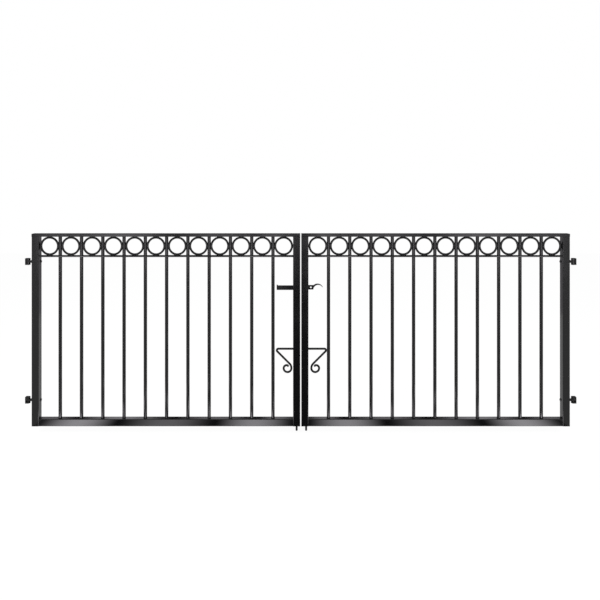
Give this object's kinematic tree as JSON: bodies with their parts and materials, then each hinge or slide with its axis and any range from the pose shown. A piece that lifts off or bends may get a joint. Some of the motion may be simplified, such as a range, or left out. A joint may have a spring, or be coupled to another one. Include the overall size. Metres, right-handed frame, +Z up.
{
  "type": "double-leaf metal driveway gate",
  "caption": "Low double driveway gate of black box section with round bars, a row of rings under the top rail, drop bolts with scroll handles and a slide latch.",
  "frame": {"origin": "centre of the flat back face of the lower left hinge bracket", "axes": "+X along the gate's width to the right, +Y away from the viewer, the way the leaves open, +Z up"},
  "size_m": [2.592, 0.0578, 0.938],
  "materials": {
    "black_paint": "gloss",
    "pin_steel": "satin",
    "cap_plastic": "matte"
  },
  "bodies": {
    "hinge_brackets": {"left_lower_hinge_bracket": "black_paint", "left_lower_hinge_pin": "pin_steel", "left_upper_hinge_bracket": "black_paint", "left_upper_hinge_pin": "pin_steel", "right_lower_hinge_bracket": "black_paint", "right_lower_hinge_pin": "pin_steel", "right_upper_hinge_bracket": "black_paint", "right_upper_hinge_pin": "pin_steel"},
    "left_leaf": {"left_hinge_stile": "black_paint", "left_meeting_stile": "black_paint", "left_stile_caps": "cap_plastic", "left_bottom_rail": "black_paint", "left_top_rail": "black_paint", "left_ring_rail": "black_paint", "left_bars": "black_paint", "left_rings": "black_paint", "left_lower_hinge_eye": "black_paint", "left_upper_hinge_eye": "black_paint", "left_bolt_guides": "black_paint", "latch_guide": "black_paint"},
    "right_leaf": {"right_hinge_stile": "black_paint", "right_meeting_stile": "black_paint", "right_stile_caps": "cap_plastic", "right_bottom_rail": "black_paint", "right_top_rail": "black_paint", "right_ring_rail": "black_paint", "right_bars": "black_paint", "right_rings": "black_paint", "right_lower_hinge_eye": "black_paint", "right_upper_hinge_eye": "black_paint", "right_bolt_guides": "black_paint", "latch_keeper": "black_paint", "latch_tail": "black_paint"},
    "left_drop_bolt": {"left_drop_bolt": "black_paint"},
    "right_drop_bolt": {"right_drop_bolt": "black_paint"},
    "latch_bar": {"latch_bar": "black_paint"}
  },
  "joints": [
    {"name": "left_leaf_swing", "type": "hinge", "parent": "hinge_brackets", "child": "left_leaf", "pos_m": [0.0124, 0, 0], "axis": [0, 0, 1], "range_deg": [0, 90]},
    {"name": "right_leaf_swing", "type": "hinge", "parent": "hinge_brackets", "child": "right_leaf", "pos_m": [2.5796, 0, 0], "axis": [0, 0, -1], "range_deg": [0, 90]},
    {"name": "left_drop_bolt_lift", "type": "slide", "parent": "left_leaf", "child": "left_drop_bolt", "axis": [0, 0, 1], "range_m": [0, 0.1]},
    {"name": "right_drop_bolt_lift", "type": "slide", "parent": "right_leaf", "child": "right_drop_bolt", "axis": [0, 0, 1], "range_m": [0, 0.1]},
    {"name": "latch_slide", "type": "slide", "parent": "left_leaf", "child": "latch_bar", "axis": [-1, 0, 0], "range_m": [-0.062, 0]}
  ]
}
